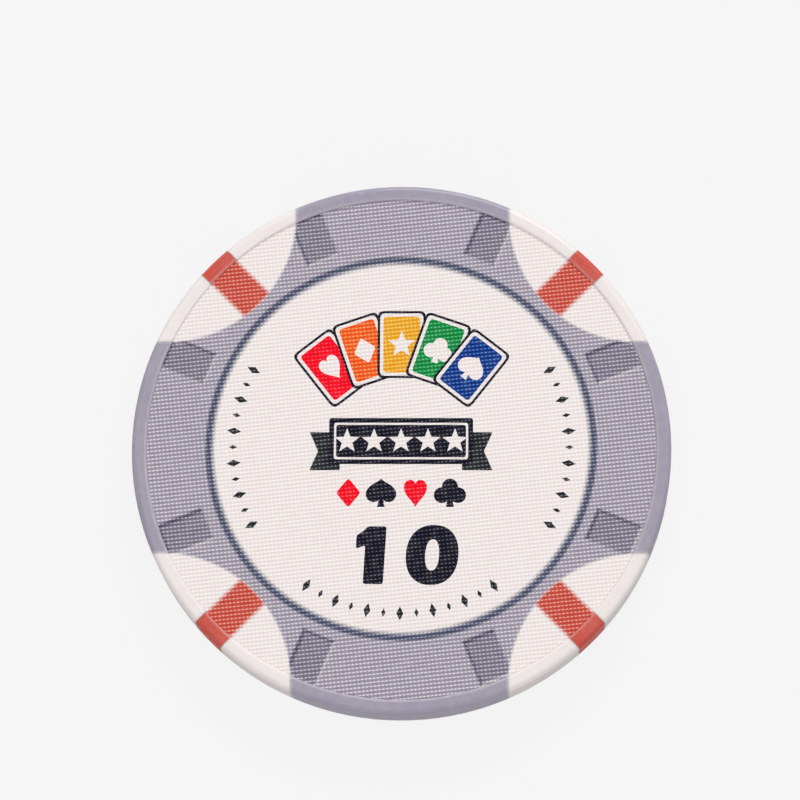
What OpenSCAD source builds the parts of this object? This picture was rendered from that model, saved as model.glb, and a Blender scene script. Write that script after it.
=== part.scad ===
// Casino style poker chip: a plastic body with moulded edge spots, a steel slug inside,
// and a printed label seated in each face. The chip lies flat on the XY plane, its axis is +Z,
// the front face looks up and the print stands upright along +Y. Sizes are in millimetres.

/* [Chip] */
// Diameter across the side wall
chip_d = 39; // [36:0.5:48]
// Thickness over both rims
chip_t = 3.3; // [3:0.1:4.5]
// Radius that rounds the outer edge of each face
edge_r = 0.45; // [0.2:0.05:0.6]

/* [Rim and label seat] */
// Width of the rim, from the side wall to the wall of the label seat
rim_w = 1.1; // [0.85:0.05:2]
// Radius that rounds the lip of the label seat
lip_r = 0.2; // [0.1:0.02:0.3]
// Depth of a label's face below the rim
label_sink = 0.15; // [0.05:0.01:0.3]
// Clearance between a label's edge and the wall of its seat
label_gap = 0.02; // [0.01:0.01:0.2]

/* [Label films] */
// Thickness of the adhesive film
adhesive_t = 0.05; // [0.02:0.01:0.1]
// Thickness of the printed vinyl
vinyl_t = 0.1; // [0.05:0.01:0.2]
// Thickness of the clear textured overlay
overlay_t = 0.05; // [0.02:0.01:0.1]

/* [Edge spots] */
// Number of edge spots round the rim
spot_count = 4; // [3:1:6]
// Depth that a spot reaches in from the side wall
spot_reach = 4.6; // [3:0.1:6]
// Radius of the arc that bounds a spot
spot_arc_r = 9.5; // [6:0.1:12]
// Width of the stripe through the middle of a spot
stripe_w = 2.6; // [1:0.1:4]

/* [Keys in the edge spots] */
// Depth of the body's tongue in the groove of a spot
key_depth = 0.5; // [0.2:0.05:0.8]
// Height of the tongue at its root
key_root_h = 0.9; // [0.6:0.05:1.3]
// Height of the tongue at its tip
key_tip_h = 0.6; // [0.3:0.05:0.6]
// Distance from the side wall to the ends of the tongue
key_setback = 2.2; // [1.2:0.1:2.8]
// Length of the bridge that ties the halves of a spot through its stripe
bridge_l = 1.6; // [0.8:0.1:2]
// Height of that bridge
bridge_h = 1; // [0.5:0.1:1.4]
// Distance from the side wall to the middle of that bridge
bridge_setback = 2.4; // [2:0.1:2.8]

/* [Slug] */
// Plastic between the rim of the slug and the spots
slug_wall = 0.9; // [0.5:0.05:3]
// Plastic over each face of the slug
slug_skin = 0.4; // [0.3:0.05:0.7]
// Chamfer round both edges of the slug
slug_chamfer = 0.2; // [0.1:0.05:0.4]

/* [Moulding marks] */
// Number of holes in each face, left by the pins that held the slug
pin_count = 3; // [3:1:6]
// Diameter of a pin hole
pin_d = 2.4; // [1.5:0.1:4]
// Distance from the rim of the slug to the middle of a pin hole
pin_inset = 5; // [3:0.5:8]
// Diameter of the gate mark in the side wall
gate_d = 0.9; // [0.5:0.1:1.5]
// Depth of the gate mark
gate_depth = 0.06; // [0.04:0.01:0.15]

/* [Hidden] */
$fn = 96;

// How far a cut runs past the surface that it opens
overrun = 1;

chip_r = chip_d / 2;
mid_z = chip_t / 2;

// The seat is as deep as its films and the sink of their face
seat_depth = adhesive_t + vinyl_t + overlay_t + label_sink;
seat_r = chip_r - rim_w;
label_r = seat_r - label_gap;

// Cones that make up the rounded lip
lip_cones = 4;

// Spots stand evenly round the rim, half a step off the upright of the print
spot_step = 360 / spot_count;
spot_centre = chip_r - spot_reach + spot_arc_r;
function spot_angle(k) = spot_step * (k - 1 / 2);

// The slug fills what the walls and skins leave
slug_r = chip_r - spot_reach - slug_wall;
slug_z = seat_depth + slug_skin;
slug_t = chip_t - 2 * slug_z;

// The pins of one face stand half a step off those of the other
pin_circle_r = slug_r - pin_inset;
pin_step = 360 / pin_count;

// Half section of the moulded disc: radius along X, height along Y
module chip_section() {
    difference() {
        union() {
            square([chip_r - edge_r, chip_t]);
            translate([0, edge_r]) square([chip_r, chip_t - 2 * edge_r]);
            for (z = [edge_r, chip_t - edge_r])
                translate([chip_r - edge_r, z]) circle(r = edge_r);
        }
        seat_section();
        translate([0, chip_t]) mirror([0, 1]) seat_section();
    }
}

// Half section of the lower label seat, with its rounded lip
module seat_section() {
    lip = [for (k = [0:lip_cones]) let (turn = 90 * k / lip_cones)
        [seat_r + lip_r - lip_r * sin(turn), lip_r - lip_r * cos(turn)]];
    polygon(concat(
        [[0, -overrun], [seat_r + lip_r, -overrun]],
        lip,
        [[seat_r, seat_depth], [0, seat_depth]]
    ));
}

// The moulded disc, with its rounded edges and both label seats
module chip_solid() {
    rotate_extrude() chip_section();
}

// Tongue of the body that keys into a spot, about the middle of the spot's arc
module key_ring() {
    intersection() {
        translate([0, 0, mid_z]) rotate_extrude() polygon([
            [spot_arc_r - key_depth, -key_tip_h / 2],
            [spot_arc_r, -key_root_h / 2],
            [spot_arc_r + overrun, -key_root_h / 2],
            [spot_arc_r + overrun, key_root_h / 2],
            [spot_arc_r, key_root_h / 2],
            [spot_arc_r - key_depth, key_tip_h / 2]
        ]);
        translate([-spot_centre, 0, 0]) cylinder(r = chip_r - key_setback, h = chip_t);
    }
}

// Space that edge spot k and its stripe take out of the disc
module spot_space(k) {
    rotate(spot_angle(k)) translate([spot_centre, 0, 0]) difference() {
        translate([0, 0, -overrun]) cylinder(r = spot_arc_r, h = chip_t + 2 * overrun);
        key_ring();
    }
}

// Bar that stripe k takes out of its spot, with the window for the bridge
module stripe_space(k) {
    rotate(spot_angle(k)) difference() {
        translate([chip_r - spot_reach - overrun, -stripe_w / 2, -overrun])
            cube([spot_reach + 2 * overrun, stripe_w, chip_t + 2 * overrun]);
        translate([chip_r - bridge_setback - bridge_l / 2, -stripe_w / 2 - overrun, mid_z - bridge_h / 2])
            cube([bridge_l, stripe_w + 2 * overrun, bridge_h]);
    }
}

// Outline of the slug, which is also the hollow that it fills in the body
module slug_solid() {
    translate([0, 0, slug_z]) rotate_extrude() polygon([
        [0, 0],
        [slug_r - slug_chamfer, 0],
        [slug_r, slug_chamfer],
        [slug_r, slug_t - slug_chamfer],
        [slug_r - slug_chamfer, slug_t],
        [0, slug_t]
    ]);
}

// Pin holes of the back face, which end in the hollow of the slug
module pin_holes() {
    for (k = [0:pin_count - 1])
        rotate(k * pin_step) translate([pin_circle_r, 0, 0]) cylinder(d = pin_d, h = mid_z);
}

// Gate mark in the side wall, in the body between two spots
module gate_mark() {
    translate([chip_r - gate_depth, 0, mid_z])
        rotate([0, 90, 0]) cylinder(d = gate_d, h = gate_depth + overrun);
}

// Puts a back film on the front face instead
module on_front() {
    translate([0, 0, chip_t]) mirror([0, 0, 1]) children();
}

// One round film of the back label, between two depths below the floor of its seat
module film(depth, thickness) {
    translate([0, 0, seat_depth - depth - thickness]) cylinder(r = label_r, h = thickness);
}

module adhesive() {
    color("#d9d3b4") film(0, adhesive_t);
}

module label() {
    color("#aca6b2") film(adhesive_t, vinyl_t);
}

module overlay() {
    color("#e6ecf2", 0.35) film(adhesive_t + vinyl_t, overlay_t);
}

module body() {
    color("#a19bac") difference() {
        chip_solid();
        slug_solid();
        for (k = [1:spot_count]) spot_space(k);
        pin_holes();
        on_front() rotate(pin_step / 2) pin_holes();
        gate_mark();
    }
}

module steel_slug() {
    color("silver") slug_solid();
}

module white_spot(k) {
    color("#eee6e3") difference() {
        intersection() {
            chip_solid();
            spot_space(k);
        }
        stripe_space(k);
    }
}

module red_stripe(k) {
    color("#c75b4d") intersection() {
        chip_solid();
        spot_space(k);
        stripe_space(k);
    }
}

body();
steel_slug();
for (k = [1:spot_count]) {
    white_spot(k);
    red_stripe(k);
}
on_front() adhesive();  // front_adhesive
on_front() label();  // front_label
on_front() overlay();  // front_overlay
adhesive();  // back_adhesive
label();  // back_label
overlay();  // back_overlay
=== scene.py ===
"""Poker chip: finishes for the moulded pieces, two embossed printed labels and a plain studio."""
import math

import bpy
import numpy as np
from mathutils import Matrix, Vector
from mathutils.geometry import delaunay_2d_cdt


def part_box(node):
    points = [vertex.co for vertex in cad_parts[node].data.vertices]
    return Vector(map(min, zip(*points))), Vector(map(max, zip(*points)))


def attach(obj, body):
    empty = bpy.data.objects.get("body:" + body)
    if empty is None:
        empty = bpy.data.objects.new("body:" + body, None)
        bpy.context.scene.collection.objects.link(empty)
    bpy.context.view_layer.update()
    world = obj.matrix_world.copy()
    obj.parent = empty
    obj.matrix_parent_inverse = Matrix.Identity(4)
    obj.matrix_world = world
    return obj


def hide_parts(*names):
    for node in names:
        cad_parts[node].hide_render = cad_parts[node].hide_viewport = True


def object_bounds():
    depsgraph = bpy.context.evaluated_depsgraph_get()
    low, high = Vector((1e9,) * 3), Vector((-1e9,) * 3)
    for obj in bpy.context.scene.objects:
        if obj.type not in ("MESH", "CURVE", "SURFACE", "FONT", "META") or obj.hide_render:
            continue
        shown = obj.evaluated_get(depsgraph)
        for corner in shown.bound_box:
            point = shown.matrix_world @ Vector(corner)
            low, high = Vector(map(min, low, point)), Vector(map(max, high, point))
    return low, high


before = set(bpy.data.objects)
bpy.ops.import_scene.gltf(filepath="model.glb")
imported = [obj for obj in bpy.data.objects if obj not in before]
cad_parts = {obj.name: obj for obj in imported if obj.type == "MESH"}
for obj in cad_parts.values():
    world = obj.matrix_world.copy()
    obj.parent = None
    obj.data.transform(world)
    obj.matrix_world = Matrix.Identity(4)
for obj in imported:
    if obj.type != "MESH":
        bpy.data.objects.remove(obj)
cad_low, cad_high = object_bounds()

# Sizes below are millimetres in the chip's frame, and the scene is in metres
MM = 0.001

# The part leaves a gap between a label and its seat, which the film fills at its face but not at its base
LABEL_GAP = 0.02
FACE_SPREAD = 0.003
BASE_CLEARANCE = 0.01

# Sizes read from the frame
CHIP_R = cad_high.x / MM
CHIP_T = cad_high.z / MM
overlay_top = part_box("front_overlay")[1]
SEAT_R = overlay_top.x / MM + LABEL_GAP
LABEL_R = SEAT_R + FACE_SPREAD
FACE_Z = overlay_top.z / MM
LABEL_BASE_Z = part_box("front_label")[0].z / MM

# Edge spots, as in the part: an arc bounds each spot, and a straight stripe runs through its middle
SPOT_ARC_R = 9.5
SPOT_REACH = 4.6
SPOT_CENTRE = CHIP_R - SPOT_REACH + SPOT_ARC_R
STRIPE_W = 2.6

# Width over which two moulded colours run into each other
SPOT_BLEED = 0.4
STRIPE_BLEED = 0.16

# Lip of the label seats, from its rim to its wall, and how far a painted highlight pales it
LIP_HIGHLIGHT_BAND = (CHIP_R - 0.85, CHIP_R - 1.0)
LIP_HIGHLIGHT_SHARE = (0.15, 0.23)

# Side wall, from its rounded edge to its middle, and how much duller scuffs have made it
SCUFFED_WALL = (CHIP_R - 0.2, CHIP_R - 0.02)
WALL_SCUFF = 0.3

# Knit line in the side wall, where the plastic met across from its gate
KNIT_W = 0.09
KNIT_SHARE = 0.3
KNIT_MIN_R = CHIP_R - 0.2

# Printed border of the label: stripes and spots as on the rim, a ring, and two patches beside each spot
PRINT_STRIPE_W = 2.5
RING_FADE_IN = (13.36, 13.88)
RING_FADE_OUT = (14.01, 14.27)
PATCH_W = 2.2
PATCH_INNER_R = 15.05
PATCH_OUTER_R = 18.27
PATCH_TURN = math.radians(22.6)

# The patches print a little out of register with the gaps that the grey leaves for them
PATCH_SHIFT = (-0.11, 0.12, 0.0)
PATCH_SPREAD = 0.1

# Width over which two printed colours run into each other
PRINT_BLUR = 0.3
STRIPE_BLUR = 0.45
PATCH_BLUR = 0.28

# Emboss of the clear film: a square lattice of low domes, with deeper grooves between its rows
EMBOSS_PITCH = 0.285
EMBOSS_TURN = math.radians(6.5)
EMBOSS_DEPTH = 0.02
ROW_SHARE = 0.75
COLUMN_SHARE = 0.25

# Painted shade and highlights of the emboss: the colour's gamma, which darkens it in the grooves as painted
# shade and pales it on the domes as painted highlights
GROOVE_SHADE_GAMMA = 1.62
PALE_DOME_HIGHLIGHT_GAMMA = 0.15
DEEP_DOME_HIGHLIGHT_GAMMA = 0.45
INK_DOME_HIGHLIGHT_GAMMA = 0.4
DOME_POWER = 3

# Lightness of a deep and of a pale colour of the border
DEEP_TONE = 0.15
PALE_TONE = 0.44

# Middle part of a noise's range, which is eased onto the range of a finish
NOISE_SPAN = (0.3, 0.7)

# Finish of the print: how uneven the ink is, how far it fades, and the film's sheen
MOTTLE_GRAIN = 0.3
MOTTLE = (0.94, 1.06)
FADE_GRAIN = 0.5
FADE_SPAN = (0.35, 0.75)
INK_FADE = 0.06
FILM_GRAIN = 0.9
FILM_ROUGHNESS = (0.3, 0.38)
FILM_SPECULAR = 0.08

# Finish of the moulded plastic: flow marks, a painted highlight on the lip, polish, fine grain and the
# light that goes into it
FLOW_GRAIN = 2.6
FLOW_MARKS = (0.0, 0.05)
LIP_HIGHLIGHT_GRAIN = 1.2
POLISH_GRAIN = 0.7
POLISH = (0.23, 0.33)
MOULD_GRAIN = 0.09
MOULD_GRAIN_DEPTH = 0.01
MOULD_GRAIN_STRENGTH = 0.1
PLASTIC_SPECULAR = 0.3
SUBSURFACE_WEIGHT = 0.9
SUBSURFACE_DEPTH = 0.25

# Finish of the slug and of the adhesive
STEEL_TONE_GRAIN = 0.8
STEEL_GRAIN = 0.3
STEEL_ROUGHNESS = (0.28, 0.42)
ADHESIVE_GRAIN = 0.6
ADHESIVE_ROUGHNESS = 0.5

# Longest step between the points of a circle, its fewest points, and the points of other curves
OUTLINE_STEP = 0.14
CIRCLE_POINTS = 20
ELLIPSE_POINTS = 56
CURVE_STEPS = 8

# Inner corners of a star, as a share of its radius
STAR_NOTCH_SHARE = 0.42

# Map of a label for baking: the face fills it with a margin, and the wall and back share a free corner
MAP_MARGIN = 1.02
MAP_CORNER = 0.08
MAP_WALL_OUT = 0.065
MAP_WALL_IN = 0.05
MAP_BACK_R = 0.045


def srgb(red, green, blue):
    """Linear colour of an sRGB triple from 0 to 255."""
    def linear(value):
        share = value / 255
        return share / 12.92 if share <= 0.04045 else ((share + 0.055) / 1.055) ** 2.4

    return (linear(red), linear(green), linear(blue), 1.0)


# Colours of the moulded plastics and of the inks
BODY_GREY = srgb(162, 156, 172)
SPOT_WHITE = srgb(234, 227, 225)
STRIPE_RED = srgb(202, 78, 62)
PRINT_GREY = srgb(181, 175, 186)
PRINT_WHITE = srgb(238, 231, 229)
PRINT_RED = srgb(211, 114, 101)
PATCH_INK = srgb(165, 165, 181)
KNIT_SLATE = srgb(62, 66, 84)
RING_SLATE = srgb(113, 117, 137)
STEEL_TONES = (srgb(168, 170, 174), srgb(196, 198, 201))
ADHESIVE_TONES = (srgb(214, 208, 180), srgb(228, 223, 200))
INK_COLOURS = {
    "navy": srgb(24, 24, 48),
    "slate": srgb(58, 62, 68),
    "crimson": srgb(243, 5, 50),
    "orange": srgb(240, 122, 52),
    "amber": srgb(236, 184, 62),
    "green": srgb(34, 160, 92),
    "blue": srgb(34, 84, 158),
}

# Floor: half its width, its height and colour, and how much of it glows for a ray that sees it directly
FLOOR_REACH = 1500
FLOOR_Z = -0.02
FLOOR_TONE = (0.45, 0.45, 0.453, 1)
FLOOR_ROUGHNESS = 0.9
FLOOR_SPECULAR = 0.1
FLOOR_GLOW = 0.85

# Even light all round, and soft boxes: name, azimuth, elevation, width, height in metres and level
WORLD_LEVEL = 0.5
LAMP_DISTANCE = 1.5
LAMPS = (
    ("top", 180, 81, 2.0, 2.0, 0.29),
    ("front", 180, 32, 1.2, 0.3, 0.1),
    ("back", 10, 30, 0.9, 0.3, 0.29),
)

# Camera: sensor and lens, tip towards the viewer, turn to the right, and place
CAMERA_SENSOR = 36
CAMERA_LENS = 195.5
CAMERA_TIP = math.radians(12.25)
CAMERA_PAN = math.radians(1.862)
CAMERA_AT = (10.12, -63.19, 310.21)


# Outlines: closed loops of points in the plane of the print

def circle(centre, radius):
    """Points round a circle."""
    count = max(CIRCLE_POINTS, round(2 * math.pi * radius / OUTLINE_STEP))
    turn = np.linspace(0, 2 * math.pi, count, endpoint=False)
    return np.column_stack((centre[0] + radius * np.cos(turn), centre[1] + radius * np.sin(turn)))


def placed(points, scale=1.0, turn=0.0, at=(0.0, 0.0)):
    """A loop scaled, turned about its origin and moved."""
    loop = np.asarray(points, float) * scale
    c, s = math.cos(turn), math.sin(turn)
    return loop @ np.array(((c, s), (-s, c))) + np.asarray(at)


def rounded(points, radius):
    """A polygon with its corners rounded by short curves."""
    corners = np.asarray(points, float)
    loop = []
    for before, corner, after in zip(np.roll(corners, 1, 0), corners, np.roll(corners, -1, 0)):
        to_before, to_after = before - corner, after - corner
        lengths = np.hypot(*to_before), np.hypot(*to_after)
        reach = min(radius, lengths[0] / 2, lengths[1] / 2)
        start = corner + to_before * reach / lengths[0]
        end = corner + to_after * reach / lengths[1]
        for t in (0, 0.33, 0.67, 1):
            loop.append((1 - t) ** 2 * start + 2 * t * (1 - t) * corner + t * t * end)
    return np.array(loop)


def curved(start, *segments):
    """A loop of cubic curves, each given as two handles and an end, mirrored in the upright."""
    half = [np.array(start, float)]
    for handle_a, handle_b, end in segments:
        p0, p1, p2, p3 = half[-1], np.array(handle_a), np.array(handle_b), np.array(end)
        for t in np.linspace(0, 1, CURVE_STEPS + 1)[1:]:
            s = 1 - t
            half.append(s ** 3 * p0 + 3 * t * s * s * p1 + 3 * t * t * s * p2 + t ** 3 * p3)
    half = np.array(half)
    return np.vstack((half, (half * (-1, 1))[::-1][1:-1]))


def rectangle(width, height):
    """Corners of a rectangle about its middle."""
    return np.array(((-1, -1), (1, -1), (1, 1), (-1, 1))) * (width / 2, height / 2)


def star(radius):
    """Corners of a five-pointed star."""
    turn = math.pi / 2 + np.arange(10) * math.pi / 5
    reach = np.where(np.arange(10) % 2 == 0, radius, radius * STAR_NOTCH_SHARE)
    return np.column_stack((reach * np.cos(turn), reach * np.sin(turn)))


def ellipse(width, height, fullness, slant):
    """Points round a slanted ellipse, squarer for a higher fullness."""
    turn = np.linspace(0, 2 * math.pi, ELLIPSE_POINTS, endpoint=False)
    c, s = np.cos(turn), np.sin(turn)
    x = np.sign(c) * np.abs(c) ** (2 / fullness)
    y = np.sign(s) * np.abs(s) ** (2 / fullness)
    return np.column_stack((x * width / 2 + slant * y * height / 2, y * height / 2))


# Card suits and a star, each one unit tall about its middle
DIAMOND = [rounded(((0, 0.52), (0.43, 0), (0, -0.52), (-0.43, 0)), 0.1)]
HEART = [curved(
    (0, -0.5),
    ((-0.1, -0.27), (-0.4, -0.1), (-0.4, 0.2)),
    ((-0.4, 0.4), (-0.25, 0.46), (-0.17, 0.46)),
    ((-0.1, 0.46), (-0.03, 0.42), (0, 0.31)),
)]
SPADE = [curved(
    (0, 0.5),
    ((-0.07, 0.42), (-0.2, 0.36), (-0.28, 0.31)),
    ((-0.42, 0.22), (-0.53, 0.1), (-0.53, -0.05)),
    ((-0.53, -0.26), (-0.3, -0.42), (-0.09, -0.27)),
    ((-0.09, -0.36), (-0.11, -0.44), (-0.14, -0.5)),
    ((-0.1, -0.5), (-0.05, -0.5), (0, -0.5)),
)]
CLUB = [
    circle((0, 0.22), 0.28),
    circle((-0.28, -0.08), 0.28),
    circle((0.28, -0.08), 0.28),
    rounded(((-0.14, -0.5), (-0.06, -0.1), (-0.14, 0.1), (0.14, 0.1), (0.06, -0.1), (0.14, -0.5)), 0.05),
]
STAR = [star(0.55)]

# Row of suits: shape, place across and ink
SUIT_H = 2.08
SUIT_ROW_Y = -3.36
SUIT_ROW = (
    (DIAMOND, -3.78, "crimson"),
    (SPADE, -1.42, "navy"),
    (HEART, 1.06, "crimson"),
    (CLUB, 3.55, "navy"),
)

# Bold figures of the value
FIGURE_CORNER = 0.18
FIGURE_ONE = rounded(
    ((-1.24, -10.03), (-0.99, -5.82), (-2.35, -5.82), (-2.7, -6.2),
     (-3.15, -6.46), (-3.2, -7.46), (-2.53, -7.2), (-2.68, -10.03)), FIGURE_CORNER)
FIGURE_ZERO_AT = (2.29, -7.9)
FIGURE_ZERO_OUTER = (3.78, 4.38)
FIGURE_ZERO_INNER = (1.0, 2.28)
FIGURE_FULLNESS = 2.25
FIGURE_SLANT = 0.055

# Fan of five cards, each with a pip
CARD_W, CARD_H = 3.5, 5.0
CARD_CORNER = 0.45
CARD_LINE_W = 0.18
CARD_MARGIN = 0.42
PIP_H = 1.9
FAN_AT = (0.0, -0.6)
FAN_R = 8.2
FAN_STEP = math.radians(19)
FAN = ((HEART, "crimson"), (DIAMOND, "orange"), (STAR, "amber"), (CLUB, "green"), (SPADE, "blue"))

# Ribbon of stars below the fan
RIBBON_W, RIBBON_H = 10.4, 3.4
RIBBON_AT = (0.0, 0.45)
RIBBON_CORNER = 0.2
RIBBON_LINE_INSET = 0.35
RIBBON_LINE_W = 0.16
TAIL_W, TAIL_H, TAIL_DROP = 2.2, 2.8, 0.75
TAIL_NOTCH_SHARE = 0.72
STAR_R = 0.95
STAR_STEP = 1.95
STAR_PLACES = (-2, -1, 0, 1, 2)

# Small lozenges along the inside of the ring, left, right and below
BEAD_ARC_R = 12.15
BEAD_W, BEAD_H = 0.5, 1.05
SMALL_BEAD_SHARE = 0.6
BEAD_STEP = math.radians(5.6)
BEAD_ARCS = ((math.radians(180), 11), (math.radians(0), 11), (math.radians(270), 13))

# The white of the print is its ground, so white shapes are cut out of the inks below them
WHITE = "ground"


def card_fan():
    """Five cards in a fan, each with a dark edge, a white margin, a coloured face and a white pip."""
    layers = []
    for k, (pip, ink) in enumerate(FAN):
        turn = (len(FAN) // 2 - k) * FAN_STEP
        at = (FAN_AT[0] - FAN_R * math.sin(turn), FAN_AT[1] + FAN_R * math.cos(turn))
        for inset, layer in ((0, "navy"), (CARD_LINE_W, WHITE), (CARD_MARGIN, ink)):
            card = rounded(rectangle(CARD_W - 2 * inset, CARD_H - 2 * inset), CARD_CORNER - inset / 2)
            layers.append((layer, placed(card, turn=turn, at=at)))
        layers += [(WHITE, placed(loop, PIP_H, turn, at)) for loop in pip]
    return layers


def ribbon():
    """A dark ribbon with a row of stars and folded tails."""
    layers = []
    x, y = RIBBON_AT
    tail = np.array(((0, -1), (1, -1), (TAIL_NOTCH_SHARE, 0), (1, 1), (0, 1)))
    tail_x = (RIBBON_W - TAIL_NOTCH_SHARE * TAIL_W) / 2
    for sign in (-1, 1):
        loop = rounded(tail * (sign * TAIL_W, TAIL_H / 2), RIBBON_CORNER / 2)
        layers.append(("slate", placed(loop, at=(x + sign * tail_x, y - TAIL_DROP))))
    insets = ((0, "navy"), (RIBBON_LINE_INSET, WHITE), (RIBBON_LINE_INSET + RIBBON_LINE_W, "navy"))
    for inset, ink in insets:
        band = rounded(rectangle(RIBBON_W - 2 * inset, RIBBON_H - 2 * inset), RIBBON_CORNER)
        layers.append((ink, placed(band, at=RIBBON_AT)))
    for k in STAR_PLACES:
        layers.append((WHITE, placed(star(STAR_R), at=(x + k * STAR_STEP, y))))
    return layers


def value_print():
    """The row of suits and the figures of the value."""
    layers = []
    for loops, x, ink in SUIT_ROW:
        layers += [(ink, placed(loop, SUIT_H, at=(x, SUIT_ROW_Y))) for loop in loops]
    layers.append(("navy", FIGURE_ONE))
    for size, ink in ((FIGURE_ZERO_OUTER, "navy"), (FIGURE_ZERO_INNER, WHITE)):
        layers.append((ink, placed(ellipse(*size, FIGURE_FULLNESS, FIGURE_SLANT), at=FIGURE_ZERO_AT)))
    return layers


def bead_arcs():
    """Rows of small lozenges that follow the ring."""
    layers = []
    bead = np.array(((0, 0.5), (0.5, 0), (0, -0.5), (-0.5, 0))) * (BEAD_W, BEAD_H)
    for middle, count in BEAD_ARCS:
        for k in range(count):
            turn = middle + (k - (count - 1) / 2) * BEAD_STEP
            at = (BEAD_ARC_R * math.cos(turn), BEAD_ARC_R * math.sin(turn))
            scale = 1.0 if k % 2 == 0 else SMALL_BEAD_SHARE
            layers.append(("slate", placed(bead, scale, turn - math.pi / 2, at)))
    return layers


# Mesh of a label

def inside_loop(points, loop):
    """Which points lie inside a closed loop."""
    inside = np.zeros(len(points), bool)
    x, y = points[:, 0], points[:, 1]
    for (x0, y0), (x1, y1) in zip(loop, np.roll(loop, -1, 0)):
        if y0 != y1:
            crosses = (y0 > y) != (y1 > y)
            inside ^= crosses & (x < (x1 - x0) * (y - y0) / (y1 - y0) + x0)
    return inside


def emboss(points):
    """Height and upward normal of the film's face at points of its plane."""
    c, s = math.cos(EMBOSS_TURN), math.sin(EMBOSS_TURN)
    axes = np.array(((c, s), (-s, c)))
    phase = points @ axes.T * (2 * math.pi / EMBOSS_PITCH)
    shares = np.array((COLUMN_SHARE, ROW_SHARE))
    rise = (1 + np.cos(phase) @ shares) / 2
    slope = -EMBOSS_DEPTH * math.pi / EMBOSS_PITCH * (np.sin(phase) * shares) @ axes
    normals = np.column_stack((-slope, np.ones(len(points))))
    normals /= np.linalg.norm(normals, axis=1)[:, None]
    return FACE_Z - EMBOSS_DEPTH * (1 - rise), normals


def emboss_points():
    """Sample points of the emboss: along each crest, and along both sides of its groove."""
    reach = int(LABEL_R / EMBOSS_PITCH) + 2
    steps = np.arange(-2 * reach, 2 * reach) / 2
    rows = []
    for row in np.arange(-3 * reach, 3 * reach):
        stagger = 0 if row % 3 == 0 else 0.25
        rows.append(np.column_stack((steps + stagger, np.full(len(steps), row / 3))))
    points = placed(np.vstack(rows), EMBOSS_PITCH, EMBOSS_TURN)
    return points[np.hypot(*points.T) < LABEL_R - EMBOSS_PITCH / 6]


def printed_faces(layers, inks):
    """Points and triangles of the label's plane, cut along the inks, with the slot of each triangle."""
    rim = circle((0, 0), LABEL_R)
    points = emboss_points()
    edges = []
    for loop in [rim] + [loop for ink, loop in layers]:
        first = len(points)
        edges += [(first + k, first + (k + 1) % len(loop)) for k in range(len(loop))]
        points = np.vstack((points, loop))
    flat = delaunay_2d_cdt([Vector(p) for p in points], edges, [], 0, 1e-6, False)
    places = np.array([tuple(v) for v in flat[0]])
    faces = np.array([tuple(f) for f in flat[2]])
    faces = faces[inside_loop(places[faces].mean(1), rim)]
    corner = places[faces]
    spread = np.cross(corner[:, 1] - corner[:, 0], corner[:, 2] - corner[:, 0])
    faces[spread < 0] = faces[spread < 0][:, ::-1]

    middles = places[faces].mean(1)
    slots = np.zeros(len(faces), int)
    for ink, loop in layers:
        low, high = loop.min(0), loop.max(0)
        near = np.flatnonzero(((middles > low) & (middles < high)).all(1))
        slots[near[inside_loop(middles[near], loop)]] = inks.index(ink)
    used, faces = np.unique(faces, return_inverse=True)
    return places[used], faces.reshape(-1, 3), slots


def label_mesh(inks):
    """A printed and embossed label as one closed film, on the front of the chip."""
    layers = card_fan() + ribbon() + value_print() + bead_arcs()
    places, faces, slots = printed_faces(layers, list(inks))
    heights, normals = emboss(places)
    top = np.column_stack((places, heights))
    pairs = np.vstack((faces[:, [0, 1]], faces[:, [1, 2]], faces[:, [2, 0]]))
    keys = np.sort(pairs, 1) @ np.array((len(top), 1))
    _, where, counts = np.unique(keys, return_index=True, return_counts=True)
    border = pairs[where[counts == 1]]
    below = {a: len(top) + k for k, a in enumerate(border[:, 0])}
    inset = (SEAT_R - BASE_CLEARANCE) / LABEL_R
    base = np.column_stack((places[border[:, 0]] * inset, np.full(len(border), LABEL_BASE_Z)))
    walls = [(b, a, below[a], below[b]) for a, b in border]
    floor = tuple(len(top) + k for k in np.argsort(-np.arctan2(base[:, 1], base[:, 0])))

    mesh = bpy.data.meshes.new("label")
    polygons = [tuple(f) for f in faces] + walls + [floor]
    mesh.from_pydata(np.vstack((top, base)) * MM, [], polygons)
    for material in inks.values():
        mesh.materials.append(material)
    mesh.polygons.foreach_set("material_index", np.append(slots, np.zeros(len(walls) + 1, int)))
    mesh.polygons.foreach_set("use_smooth", np.arange(len(polygons)) < len(faces))
    bake_map(mesh, len(faces), len(walls))
    loop_normals = np.zeros((len(mesh.loops), 3))
    loop_normals[:faces.size] = normals[faces.ravel()]
    mesh.normals_split_custom_set(loop_normals)
    return mesh


def bake_map(mesh, face_count, wall_count):
    """Lays the printed face out over the whole map, and the film's wall and back in a free corner."""
    vertex = np.zeros(len(mesh.loops), int)
    mesh.loops.foreach_get("vertex_index", vertex)
    places = np.zeros(len(mesh.vertices) * 3)
    mesh.vertices.foreach_get("co", places)
    out = places.reshape(-1, 3)[vertex, :2] / (LABEL_R * MM)
    top_end = 3 * face_count
    wall_end = top_end + 4 * wall_count
    uv = out / (2 * MAP_MARGIN) + 0.5
    wall = np.tile((MAP_WALL_OUT, MAP_WALL_OUT, MAP_WALL_IN, MAP_WALL_IN), wall_count)
    uv[top_end:wall_end] = out[top_end:wall_end] * wall[:, None]
    uv[wall_end:] = out[wall_end:] * MAP_BACK_R
    uv[top_end:] += MAP_CORNER
    mesh.uv_layers.new(name="OFBake").data.foreach_set("uv", uv.ravel())


def label_piece(name, mesh, stand, nodes):
    """A label in its seat."""
    piece = bpy.data.objects.new(name, mesh)
    piece.matrix_world = stand
    bpy.context.scene.collection.objects.link(piece)
    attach(piece, "root")
    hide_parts(*nodes)


# Materials

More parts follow.
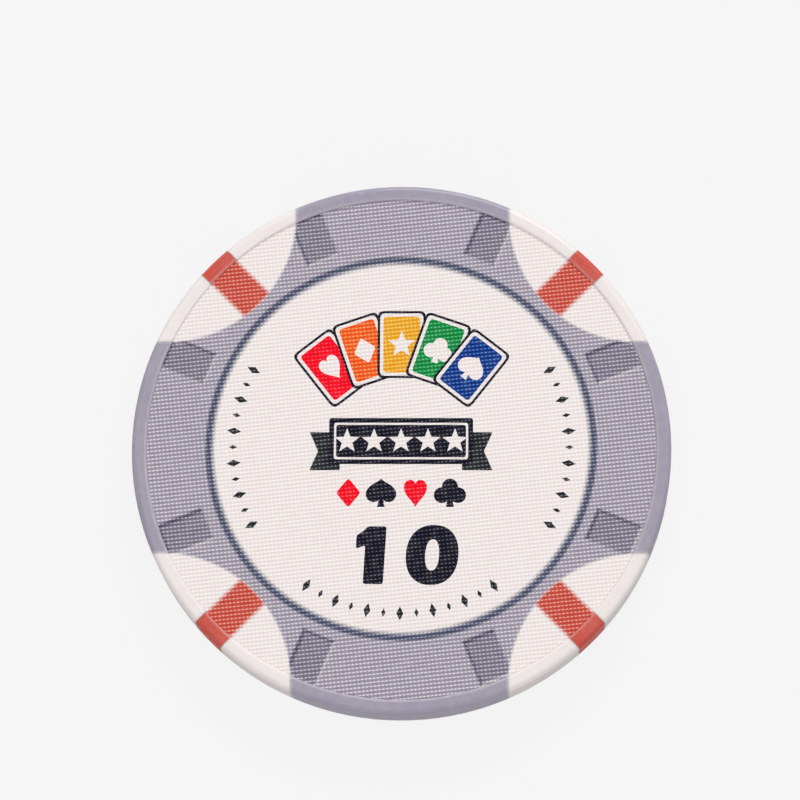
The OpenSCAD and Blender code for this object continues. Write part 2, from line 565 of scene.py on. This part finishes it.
class Tree:
    """Short calls for building a material's nodes."""

    def __init__(self, name):
        self.material = bpy.data.materials.new(name)
        self.material.use_nodes = True
        self.tree = self.material.node_tree
        self.shader = self.tree.nodes["Principled BSDF"]

    def put(self, socket, value):
        """Links a socket, or sets its value."""
        if isinstance(value, bpy.types.NodeSocket):
            self.tree.links.new(value, socket)
        else:
            socket.default_value = value

    def node(self, kind, output=0, settings=None, **inputs):
        """Adds a node, fills its inputs by name, and returns one of its outputs."""
        made = self.tree.nodes.new(kind)
        for key, value in (settings or {}).items():
            setattr(made, key, value)
        for key, value in inputs.items():
            self.put(made.inputs[key.replace("_", " ")], value)
        return made.outputs[output]

    def maths(self, operation, *values):
        """A calculation with plain numbers."""
        made = self.tree.nodes.new("ShaderNodeMath")
        made.operation = operation
        for socket, value in zip(made.inputs, values):
            self.put(socket, value)
        return made.outputs[0]

    def vectors(self, operation, *values):
        """A calculation with vectors, which gives a number for a length, a distance or a dot product."""
        made = self.tree.nodes.new("ShaderNodeVectorMath")
        made.operation = operation
        for socket, value in zip(made.inputs, values):
            self.put(socket, value)
        return made.outputs["Value" if operation in ("LENGTH", "DISTANCE", "DOT_PRODUCT") else "Vector"]

    def ramp(self, value, low, high, to_low=0.0, to_high=1.0):
        """A value's range eased onto another."""
        made = self.tree.nodes.new("ShaderNodeMapRange")
        made.interpolation_type = "SMOOTHSTEP"
        for socket, number in zip(made.inputs, (value, low, high, to_low, to_high)):
            self.put(socket, number)
        return made.outputs[0]

    def mix(self, share, first, second, blend="MIX"):
        """A blend of two colours."""
        made = self.tree.nodes.new("ShaderNodeMix")
        made.data_type = "RGBA"
        made.blend_type = blend
        for socket, value in zip((made.inputs[0], made.inputs[6], made.inputs[7]), (share, first, second)):
            self.put(socket, value)
        return made.outputs[2]

    def place(self):
        """The point's place in the piece's own frame, in millimetres."""
        scale = (1 / MM,) * 3
        return self.vectors("MULTIPLY", self.node("ShaderNodeTexCoord", "Object"), scale)

    def noise(self, grain, detail=2.0):
        """Noise with features about grain millimetres across."""
        return self.node("ShaderNodeTexNoise", 0, Vector=self.place(), Scale=1 / grain, Detail=detail)

    def uneven(self, grain, spread, detail=2.0):
        """A number that wanders over a range, in features about grain millimetres across."""
        return self.ramp(self.noise(grain, detail), *NOISE_SPAN, *spread)

    def shade(self, **inputs):
        """Sets the shader's inputs and returns the material."""
        for key, value in inputs.items():
            self.put(self.shader.inputs[key.replace("_", " ")], value)
        return self.material


def quarter(t, place):
    """A place folded onto one quarter of the chip: along the middle of its edge spot, and out from it."""
    flat = t.vectors("ABSOLUTE", t.vectors("MULTIPLY", place, (1, 1, 0)))
    half = math.sqrt(0.5)
    along = t.vectors("DOT_PRODUCT", flat, (half, half, 0))
    across = t.maths("ABSOLUTE", t.vectors("DOT_PRODUCT", flat, (half, -half, 0)))
    return t.node("ShaderNodeCombineXYZ", X=along, Y=across), across


def spot_share(t, folded, blur):
    """How far a point belongs to an edge spot, eased over a width."""
    depth = t.maths("SUBTRACT", SPOT_ARC_R, t.vectors("DISTANCE", folded, (SPOT_CENTRE, 0, 0)))
    return t.ramp(depth, -blur / 2, blur / 2)


def stripe_share(t, across, width, blur):
    """How far a point belongs to the stripe of an edge spot, eased over a width."""
    return t.ramp(across, width / 2 + blur / 2, width / 2 - blur / 2)


def patch_share(t, folded, spread):
    """How far a point belongs to a patch beside an edge spot, spread on all sides."""
    c, s = math.cos(PATCH_TURN), math.sin(PATCH_TURN)
    along = t.vectors("DOT_PRODUCT", folded, (c, s, 0))
    across = t.maths("ABSOLUTE", t.vectors("DOT_PRODUCT", folded, (-s, c, 0)))
    from_inner = t.maths("SUBTRACT", along, PATCH_INNER_R)
    from_outer = t.maths("SUBTRACT", PATCH_OUTER_R, along)
    from_side = t.maths("SUBTRACT", PATCH_W / 2, across)
    depth = t.maths("MINIMUM", t.maths("MINIMUM", from_inner, from_outer), from_side)
    return t.ramp(depth, -PATCH_BLUR / 2 - spread, PATCH_BLUR / 2 - spread)


def spotted(t, ground, white, red, stripe_w, spot_blur, stripe_blur):
    """A ground with white edge spots and red stripes through them."""
    folded, across = quarter(t, t.place())
    spot = spot_share(t, folded, spot_blur)
    stripe = t.maths("MULTIPLY", spot, stripe_share(t, across, stripe_w, stripe_blur))
    return t.mix(stripe, t.mix(spot, ground, white), red)


def printed(t, tone, dome_highlight):
    """Ink under the embossed film, with painted shade in the grooves and painted highlights on the domes.
    """
    about_axis = {"rotation_type": "Z_AXIS"}
    turned = t.node("ShaderNodeVectorRotate", 0, about_axis, Vector=t.place(), Angle=-EMBOSS_TURN)
    lattice = t.node("ShaderNodeSeparateXYZ", "X", Vector=turned).node
    rise = 0.5
    for axis, share in (("X", COLUMN_SHARE), ("Y", ROW_SHARE)):
        phase = t.maths("MULTIPLY", lattice.outputs[axis], 2 * math.pi / EMBOSS_PITCH)
        rise = t.maths("MULTIPLY_ADD", t.maths("COSINE", phase), share / 2, rise)
    # Painted shade and highlights: the colour is darkened in the grooves and paled on the domes of the
    # emboss
    dome = t.maths("POWER", rise, DOME_POWER)
    painted_emboss_gamma = t.maths("SUBTRACT", GROOVE_SHADE_GAMMA, t.maths("MULTIPLY", dome, dome_highlight))
    mottle = t.uneven(MOTTLE_GRAIN, MOTTLE, 3)
    ink = t.node("ShaderNodeGamma", 0, Color=tone, Gamma=t.maths("MULTIPLY", painted_emboss_gamma, mottle))
    rough = t.uneven(FILM_GRAIN, FILM_ROUGHNESS)
    return t.shade(Base_Color=ink, Roughness=rough, Specular_IOR_Level=FILM_SPECULAR)


def ground_material():
    """The label's ground: white within the ring, and the border of grey, spots, stripes and patches."""
    t = Tree("print_ground")
    tone = spotted(t, PRINT_GREY, PRINT_WHITE, PRINT_RED, PRINT_STRIPE_W, PRINT_BLUR, STRIPE_BLUR)
    folded = quarter(t, t.place())[0]
    shifted = quarter(t, t.vectors("SUBTRACT", t.place(), PATCH_SHIFT))[0]
    off_spots = t.maths("SUBTRACT", 1, spot_share(t, folded, PRINT_BLUR))
    inked = t.maths("MULTIPLY", off_spots, patch_share(t, shifted, PATCH_SPREAD))
    tone = t.mix(patch_share(t, folded, 0), tone, PRINT_WHITE)
    tone = t.mix(inked, tone, PATCH_INK, "MULTIPLY")
    radius = t.vectors("LENGTH", folded)
    tone = t.mix(t.ramp(radius, *reversed(RING_FADE_OUT)), tone, RING_SLATE)
    tone = t.mix(t.ramp(radius, *reversed(RING_FADE_IN)), tone, PRINT_WHITE)
    lightness = t.node("ShaderNodeRGBToBW", Color=tone)
    # How far the painted highlights pale the domes, from deep colours to pale ones
    dome_highlight = (GROOVE_SHADE_GAMMA - DEEP_DOME_HIGHLIGHT_GAMMA, GROOVE_SHADE_GAMMA - PALE_DOME_HIGHLIGHT_GAMMA)
    return printed(t, tone, t.ramp(lightness, DEEP_TONE, PALE_TONE, *dome_highlight))


def ink_material(name, colour):
    """One plain ink of the print's middle, a little uneven."""
    t = Tree("ink_" + name)
    pale = tuple((1 - INK_FADE) * channel + INK_FADE * white for channel, white in zip(colour, PRINT_WHITE))
    tone = t.mix(t.ramp(t.noise(FADE_GRAIN, 3), *FADE_SPAN), colour, pale)
    return printed(t, tone, GROOVE_SHADE_GAMMA - INK_DOME_HIGHLIGHT_GAMMA)


def plastic_finish(t, tone):
    """Moulded plastic: a soft gloss, fine grain, faint flow marks, a painted highlight on the lip and a
    scuffed side wall.
    """
    tone = t.mix(t.uneven(FLOW_GRAIN, FLOW_MARKS, 3), tone, SPOT_WHITE)
    radius = t.vectors("LENGTH", t.vectors("MULTIPLY", t.place(), (1, 1, 0)))
    # Painted highlight: the lip of the seat is paled towards white, unevenly, all round
    lip_highlight = t.maths("MULTIPLY", t.ramp(radius, *LIP_HIGHLIGHT_BAND), t.uneven(LIP_HIGHLIGHT_GRAIN, LIP_HIGHLIGHT_SHARE, 3))
    tone = t.mix(lip_highlight, tone, SPOT_WHITE)
    scuffs = t.ramp(radius, *SCUFFED_WALL, 0, WALL_SCUFF)
    rough = t.maths("ADD", t.uneven(POLISH_GRAIN, POLISH, 3), scuffs)
    grain = t.node(
        "ShaderNodeBump", 0, Height=t.noise(MOULD_GRAIN),
        Strength=MOULD_GRAIN_STRENGTH, Distance=MOULD_GRAIN_DEPTH * MM)
    t.shade(
        Subsurface_Weight=SUBSURFACE_WEIGHT, Subsurface_Radius=(1, 1, 1),
        Subsurface_Scale=SUBSURFACE_DEPTH * MM)
    return t.shade(Base_Color=tone, Roughness=rough, Specular_IOR_Level=PLASTIC_SPECULAR, Normal=grain)


def moulded_tone(t):
    """The moulded colours, which run into each other a little where they meet."""
    return spotted(t, BODY_GREY, SPOT_WHITE, STRIPE_RED, STRIPE_W, SPOT_BLEED, STRIPE_BLEED)


def body_material():
    """Grey body plastic, with a knit line in its side wall."""
    t = Tree("moulded_grey")
    parts = t.node("ShaderNodeSeparateXYZ", "X", Vector=t.place()).node
    beside = t.ramp(t.maths("ABSOLUTE", parts.outputs["Y"]), 0, KNIT_W, KNIT_SHARE, 0.0)
    line = t.maths("MULTIPLY", beside, t.maths("LESS_THAN", parts.outputs["X"], -KNIT_MIN_R))
    return plastic_finish(t, t.mix(line, moulded_tone(t), KNIT_SLATE))


def spot_material(name):
    """Plastic of the edge spots or of their stripes, which takes its colour from where it lies."""
    t = Tree(name)
    return plastic_finish(t, moulded_tone(t))


def slug_material():
    """Plated steel with faint rolling marks."""
    t = Tree("plated_steel")
    tone = t.mix(t.noise(STEEL_TONE_GRAIN, 3), *STEEL_TONES)
    return t.shade(Base_Color=tone, Metallic=1.0, Roughness=t.uneven(STEEL_GRAIN, STEEL_ROUGHNESS))


def adhesive_material():
    """Clear adhesive film, slightly yellow."""
    t = Tree("adhesive_film")
    tone = t.mix(t.noise(ADHESIVE_GRAIN), *ADHESIVE_TONES)
    return t.shade(Base_Color=tone, Roughness=ADHESIVE_ROUGHNESS)


# Studio

def seen_directly(tree):
    """A socket that is 1 for rays of the camera, of gloss and of glass, and 0 for light that spreads."""
    path = tree.nodes.new("ShaderNodeLightPath")
    seen = path.outputs["Is Camera Ray"]
    for name in ("Is Glossy Ray", "Is Transmission Ray"):
        either = tree.nodes.new("ShaderNodeMath")
        either.operation = "MAXIMUM"
        tree.links.new(seen, either.inputs[0])
        tree.links.new(path.outputs[name], either.inputs[1])
        seen = either.outputs[0]
    return seen


def floor_piece():
    """A pale floor that takes the chip's shadow and looks white where it is lit."""
    corners = np.column_stack((rectangle(2 * FLOOR_REACH, 2 * FLOOR_REACH), np.full(4, FLOOR_Z)))
    mesh = bpy.data.meshes.new("floor")
    mesh.from_pydata(corners * MM, [], [(0, 1, 2, 3)])
    floor = bpy.data.objects.new("floor", mesh)
    bpy.context.scene.collection.objects.link(floor)

    t = Tree("pale_floor")
    t.shade(Base_Color=FLOOR_TONE, Roughness=FLOOR_ROUGHNESS, Specular_IOR_Level=FLOOR_SPECULAR)
    white = t.node("ShaderNodeEmission", Strength=1.0)
    share = t.maths("MULTIPLY", seen_directly(t.tree), FLOOR_GLOW)
    both = t.tree.nodes.new("ShaderNodeMixShader")
    for socket, value in zip(both.inputs, (share, t.shader.outputs[0], white)):
        t.put(socket, value)
    t.put(t.tree.nodes["Material Output"].inputs["Surface"], both.outputs[0])
    mesh.materials.append(t.material)


def lamp(name, azimuth, elevation, width, height, level):
    """A soft box that looks at the chip and lights a level white face to the given level."""
    a, e = math.radians(azimuth), math.radians(elevation)
    light = bpy.data.lights.new(name, "AREA")
    light.shape = "RECTANGLE"
    light.size = width
    light.size_y = height
    light.energy = level * math.pi ** 2 * LAMP_DISTANCE ** 2 / math.sin(e)
    ob = bpy.data.objects.new(name, light)
    outward = Vector((math.cos(e) * math.sin(a), math.cos(e) * math.cos(a), math.sin(e)))
    ob.location = LAMP_DISTANCE * outward
    ob.rotation_euler = (-ob.location).to_track_quat("-Z", "Y").to_euler()
    bpy.context.scene.collection.objects.link(ob)


def world_light(level):
    """Even light all round, and a white backdrop where a ray sees past the floor."""
    world = bpy.data.worlds.new("studio")
    bpy.context.scene.world = world
    world.use_nodes = True
    tree = world.node_tree
    strength = tree.nodes.new("ShaderNodeMapRange")
    tree.links.new(seen_directly(tree), strength.inputs["Value"])
    strength.inputs["To Min"].default_value = level
    strength.inputs["To Max"].default_value = 1.0
    tree.links.new(strength.outputs[0], tree.nodes["Background"].inputs["Strength"])
    tree.nodes["Background"].inputs["Color"].default_value = (1, 1, 1, 1)


def camera():
    """The photograph's view: tipped from the chip's axis towards the viewer and a little to the right."""
    data = bpy.data.cameras.new("camera")
    data.sensor_width = CAMERA_SENSOR
    data.lens = CAMERA_LENS
    ob = bpy.data.objects.new("camera", data)
    ob.rotation_mode = "YXZ"
    ob.rotation_euler = (CAMERA_TIP, CAMERA_PAN, 0)
    ob.location = Vector(CAMERA_AT) * MM
    bpy.context.scene.collection.objects.link(ob)
    bpy.context.scene.camera = ob


# The pieces and their finishes
finishes = {
    "body": body_material(),
    "white_spot": spot_material("moulded_white"),
    "red_stripe": spot_material("moulded_red"),
    "steel_slug": slug_material(),
    "front_adhesive": adhesive_material(),
}
finishes["back_adhesive"] = finishes["front_adhesive"]
for node_name, node_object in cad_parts.items():
    for start, material in finishes.items():
        if node_name.startswith(start):
            node_object.data.materials[0] = material

ink_materials = {WHITE: ground_material()}
ink_materials.update({name: ink_material(name, colour) for name, colour in INK_COLOURS.items()})
front = label_mesh(ink_materials)
turned_over = Matrix.Translation((0, 0, CHIP_T * MM)) @ Matrix.Rotation(math.pi, 4, "Y")
label_piece("front_print", front, Matrix.Identity(4), ("front_label", "front_overlay"))
label_piece("back_print", front.copy(), turned_over, ("back_label", "back_overlay"))

floor_piece()
world_light(WORLD_LEVEL)
for soft_box in LAMPS:
    lamp(*soft_box)
camera()
bpy.context.scene.view_settings.view_transform = "Standard"
